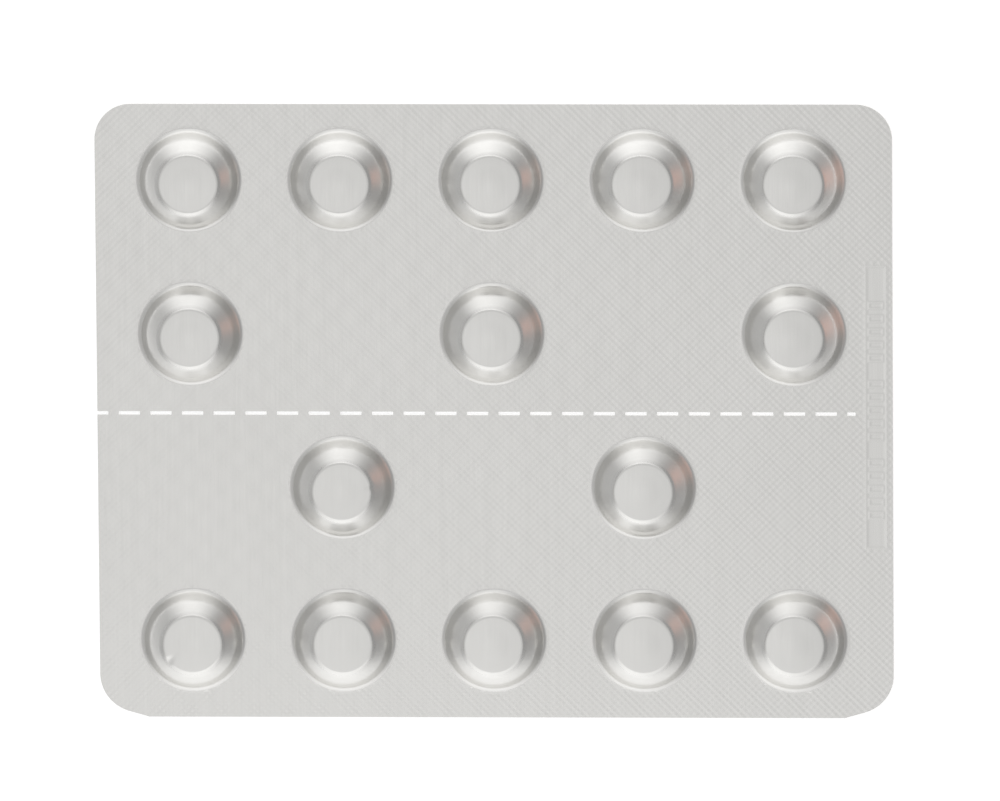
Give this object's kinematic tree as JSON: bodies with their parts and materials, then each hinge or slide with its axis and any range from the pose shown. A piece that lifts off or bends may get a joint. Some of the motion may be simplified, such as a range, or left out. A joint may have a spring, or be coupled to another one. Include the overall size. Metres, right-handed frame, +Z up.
{
  "type": "blister pack of tablets",
  "caption": "Sealed aluminium foil sheet with rounded corners, rows of round raised tablet pockets, a knurled seal area and a line of slits to tear it in two.",
  "frame": {"origin": "middle of the flat lidding side, on which the pack lies", "axes": "+X along the long edge towards the pressed strip, +Y along the short edge, away from the kinked corners, +Z up out of the pockets"},
  "size_m": [0.11, 0.0866, 0.0036],
  "materials": {
    "foil": "satin rolled foil, knurled between the pockets"
  },
  "bodies": {
    "root": {"blister_pack": "foil"}
  },
  "joints": []
}
